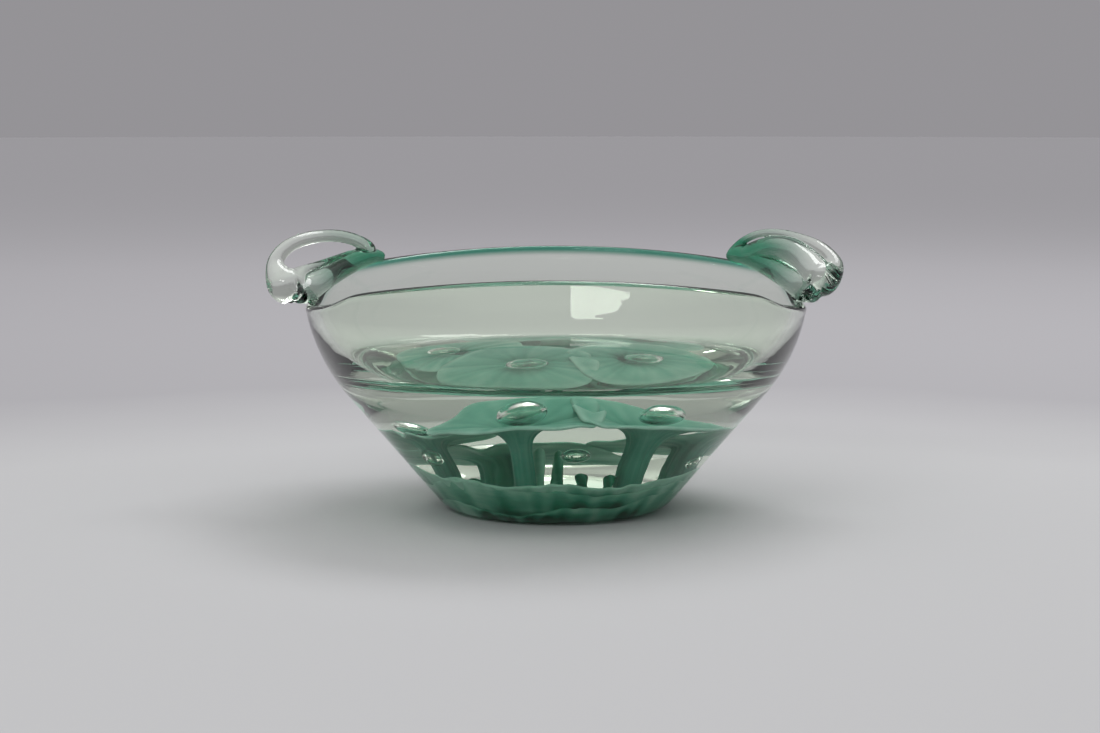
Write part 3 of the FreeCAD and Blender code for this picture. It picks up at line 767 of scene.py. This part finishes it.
# Each handle in millimetres, as x, y, z and radius.  The strand is a closed loop that leaves the heavy lobe
# at the rim's end, arches up and back, lands on the rim and runs home; the root lies along the rim.
LEFT_STRAND = [
    (-67.6, 2.2, 55.6, 4.7),
    (-70.9, 5.0, 60.4, 2.4),
    (-69.0, 8.8, 64.4, 1.9),
    (-64.4, 13.4, 66.7, 1.75),
    (-58.6, 20.0, 67.2, 1.7),
    (-53.6, 27.0, 66.0, 1.7),
    (-49.9, 33.6, 63.4, 1.8),
    (-50.2, 35.0, 61.6, 1.8),
    (-54.6, 28.6, 61.4, 1.3),
    (-59.6, 18.6, 60.2, 1.2),
    (-64.2, 9.6, 59.0, 1.4),
]
LEFT_ROOT = [
    (-64.4, -0.6, 53.4, 2.2),
    (-62.9, 4.6, 54.4, 3.4),
    (-60.0, 13.5, 56.2, 3.0),
    (-57.0, 21.5, 58.0, 2.9),
    (-53.4, 29.5, 59.7, 2.7),
    (-49.4, 36.0, 60.8, 2.3),
    (-46.6, 39.2, 60.4, 1.5),
]
RIGHT_STRAND = [
    (66.8, 2.0, 57.2, 4.3),
    (70.0, 3.2, 60.6, 2.4),
    (67.3, 9.0, 64.4, 1.9),
    (62.6, 17.0, 66.7, 1.4),
    (57.6, 25.0, 67.6, 1.2),
    (53.1, 31.6, 66.9, 1.1),
    (49.2, 36.8, 64.4, 1.1),
    (46.8, 39.6, 61.0, 1.3),
    (50.0, 35.6, 60.8, 2.4),
    (52.2, 31.0, 62.2, 2.8),
    (55.6, 24.0, 63.9, 2.8),
    (60.0, 16.0, 63.6, 3.2),
    (64.2, 8.5, 60.6, 3.7),
]
RIGHT_ROOT = [(-x, y, z + 0.5, radius * 1.08) for x, y, z, radius in LEFT_ROOT]


def strand_of_glass(name, path, looped):
    """One strand skinned with rings; an open strand gets a blunt nose at both ends."""
    columns = 40
    nose_length, nose_radius = 0.7, 0.55
    points = [Vector(p[:3]) * MM for p in path]
    radii = [p[3] * MM for p in path]
    if not looped:
        first = (points[0] - points[1]).normalized()
        last = (points[-1] - points[-2]).normalized()
        first_nose = points[0] + first * radii[0] * nose_length
        last_nose = points[-1] + last * radii[-1] * nose_length
        points = [first_nose] + points + [last_nose]
        radii = [radii[0] * nose_radius] + radii + [radii[-1] * nose_radius]
    verts = strand_rings(points, radii, columns)
    rows = len(points)
    faces = grid_faces(rows, columns)
    if looped:
        last_row = (rows - 1) * columns
        for column in range(columns):
            following = (column + 1) % columns
            faces.append((last_row + column, last_row + following, following, column))
    else:
        faces += cap(len(verts), 0, columns, flip=True)
        faces += cap(len(verts) + 1, (rows - 1) * columns, columns)
        verts += [points[0], points[-1]]
    return make_object(name, verts, faces, HANDLE)


def handle(name, strand, root, glow_from, glow_to, glow_top):
    """Strand and root melted together into one smooth skin.

    Its shade is a painted green glow, standing for light guided in from the rim: it grows from x of
    glow_from inwards to glow_to, most of all below a height of glow_top.
    """
    loop = strand_of_glass(name + "_strand", smooth_path(strand, closed=True), looped=True)
    foot = strand_of_glass(name + "_root", smooth_path(root, closed=False), looped=False)
    obj = join_objects(loop, foot)
    obj.name = name + "_curl"
    remesh = obj.modifiers.new("skin", "REMESH")
    remesh.mode = "VOXEL"
    remesh.voxel_size = 0.35 * MM
    remesh.use_smooth_shade = True
    smooth = obj.modifiers.new("soften", "SMOOTH")
    smooth.factor = 0.5
    smooth.iterations = 12
    for modifier in list(obj.modifiers):
        bpy.ops.object.modifier_apply(modifier=modifier.name)
    # Painted glow: green standing for light guided in from the rim, strongest low down.
    shades = []
    for vertex in obj.data.vertices:
        inland = (glow_from - abs(vertex.co.x) / MM) / (glow_from - glow_to)
        low = 1 - smoothstep((vertex.co.z / MM - glow_top) / 3.0)
        shades.append(smoothstep(inland) * (0.35 + 0.65 * low))
    set_shade(obj, shades)
    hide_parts(name)
    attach(obj, "root")


# ---------------------------------------------------------------- assembly

body = join_objects(clear_body(), *[bubble(index, *spec) for index, spec in enumerate(BUBBLES)])
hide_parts("bowl_body", "base_weight")
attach(body, "root")
for seed, (name, spec) in enumerate(FLOWERS.items()):
    flower(name, spec, seed * 3.7 + 1.3)
ground()
handle("left_handle", LEFT_STRAND, LEFT_ROOT, glow_from=67.0, glow_to=53.0, glow_top=61.0)
handle("right_handle", RIGHT_STRAND, RIGHT_ROOT, glow_from=67.0, glow_to=54.0, glow_top=64.6)


# ---------------------------------------------------------------- stage, light and camera

def stage_floor():
    """A wide plain floor, pale round the bowl and dimming to the backdrop's grey away from it."""
    material, tree, shader = new_material("floor")
    coordinates = object_coordinates(tree, shift=(0, 0.11, 0))
    length = tree.nodes.new("ShaderNodeVectorMath")
    length.operation = "LENGTH"
    tree.links.new(coordinates, length.inputs[0])
    clouds = noise_node(tree, coordinates, 7.0, detail=3.0)
    away = scaled_sum(tree, clouds, 0.06, length.outputs["Value"])
    pale, dim, far = (0.55, 0.55, 0.56), (0.43, 0.422, 0.444), (0.485, 0.473, 0.50)
    colours = ramp_node(tree, away, [(0.25, pale), (0.40, dim), (1.0, far)])
    tree.links.new(colours, shader.inputs["Base Color"])
    shader.inputs["Roughness"].default_value = 0.9
    bpy.ops.mesh.primitive_circle_add(vertices=128, radius=6.0, fill_type="NGON", location=(0, 0, -0.0002))
    floor = bpy.context.object
    floor.name = "floor"
    floor.data.materials.append(material)


def world_light():
    """A grey room that brightens overhead; the ramp runs from straight down to straight up."""
    world = bpy.data.worlds.new("studio")
    bpy.context.scene.world = world
    world.use_nodes = True
    tree = world.node_tree
    tree.nodes.clear()
    output = tree.nodes.new("ShaderNodeOutputWorld")
    background = tree.nodes.new("ShaderNodeBackground")
    source = tree.nodes.new("ShaderNodeTexCoord")
    split = tree.nodes.new("ShaderNodeSeparateXYZ")
    tree.links.new(source.outputs["Generated"], split.inputs["Vector"])
    level = tree.nodes.new("ShaderNodeMapRange")
    level.inputs["From Min"].default_value = -1
    level.inputs["From Max"].default_value = 1
    tree.links.new(split.outputs["Z"], level.inputs["Value"])
    stops = [
        (0.00, (0.30, 0.295, 0.305)),
        (0.50, (0.300, 0.292, 0.308)),
        (0.70, (0.285, 0.280, 0.288)),
        (0.85, (0.60, 0.60, 0.60)),
        (1.00, (1.15, 1.15, 1.15)),
    ]
    colours = ramp_node(tree, level.outputs["Result"], stops)
    tree.links.new(colours, background.inputs["Color"])
    tree.links.new(background.outputs["Background"], output.inputs["Surface"])


def softbox(name, place, target, width, depth, power, slant=0.0):
    """A rectangular lamp aimed at target and turned by slant degrees about its own aim."""
    light = bpy.data.lights.new(name, "AREA")
    light.shape = "RECTANGLE"
    light.size = width
    light.size_y = depth
    light.energy = power
    obj = bpy.data.objects.new(name, light)
    obj.location = place
    aim = (Vector(target) - Vector(place)).to_track_quat("-Z", "Y").to_matrix()
    obj.rotation_euler = (aim @ Matrix.Rotation(math.radians(slant), 3, "Z")).to_euler()
    bpy.context.scene.collection.objects.link(obj)


def make_camera():
    """A long lens in front of the bowl, looking slightly down."""
    look_down, turn = 6.6, 0.15
    camera = bpy.data.cameras.new("camera")
    camera.sensor_width = 36.0
    camera.lens = 75.3
    camera.clip_start = 0.01
    obj = bpy.data.objects.new("camera", camera)
    obj.location = (0, -0.575, 0.102)
    obj.rotation_euler = (math.radians(90 - look_down), 0, math.radians(turn))
    bpy.context.scene.collection.objects.link(obj)
    bpy.context.scene.camera = obj


stage_floor()
world_light()
softbox("front_softbox", place=(-0.38, -0.77, 0.60), target=(0, 0, 0.04), width=0.54, depth=0.10,
        power=1.45, slant=10.0)
softbox("back_softbox", place=(0.25, 0.40, 0.90), target=(0, 0, 0.03), width=0.7, depth=0.35, power=3.6)
make_camera()
bpy.context.scene.view_settings.view_transform = "Standard"
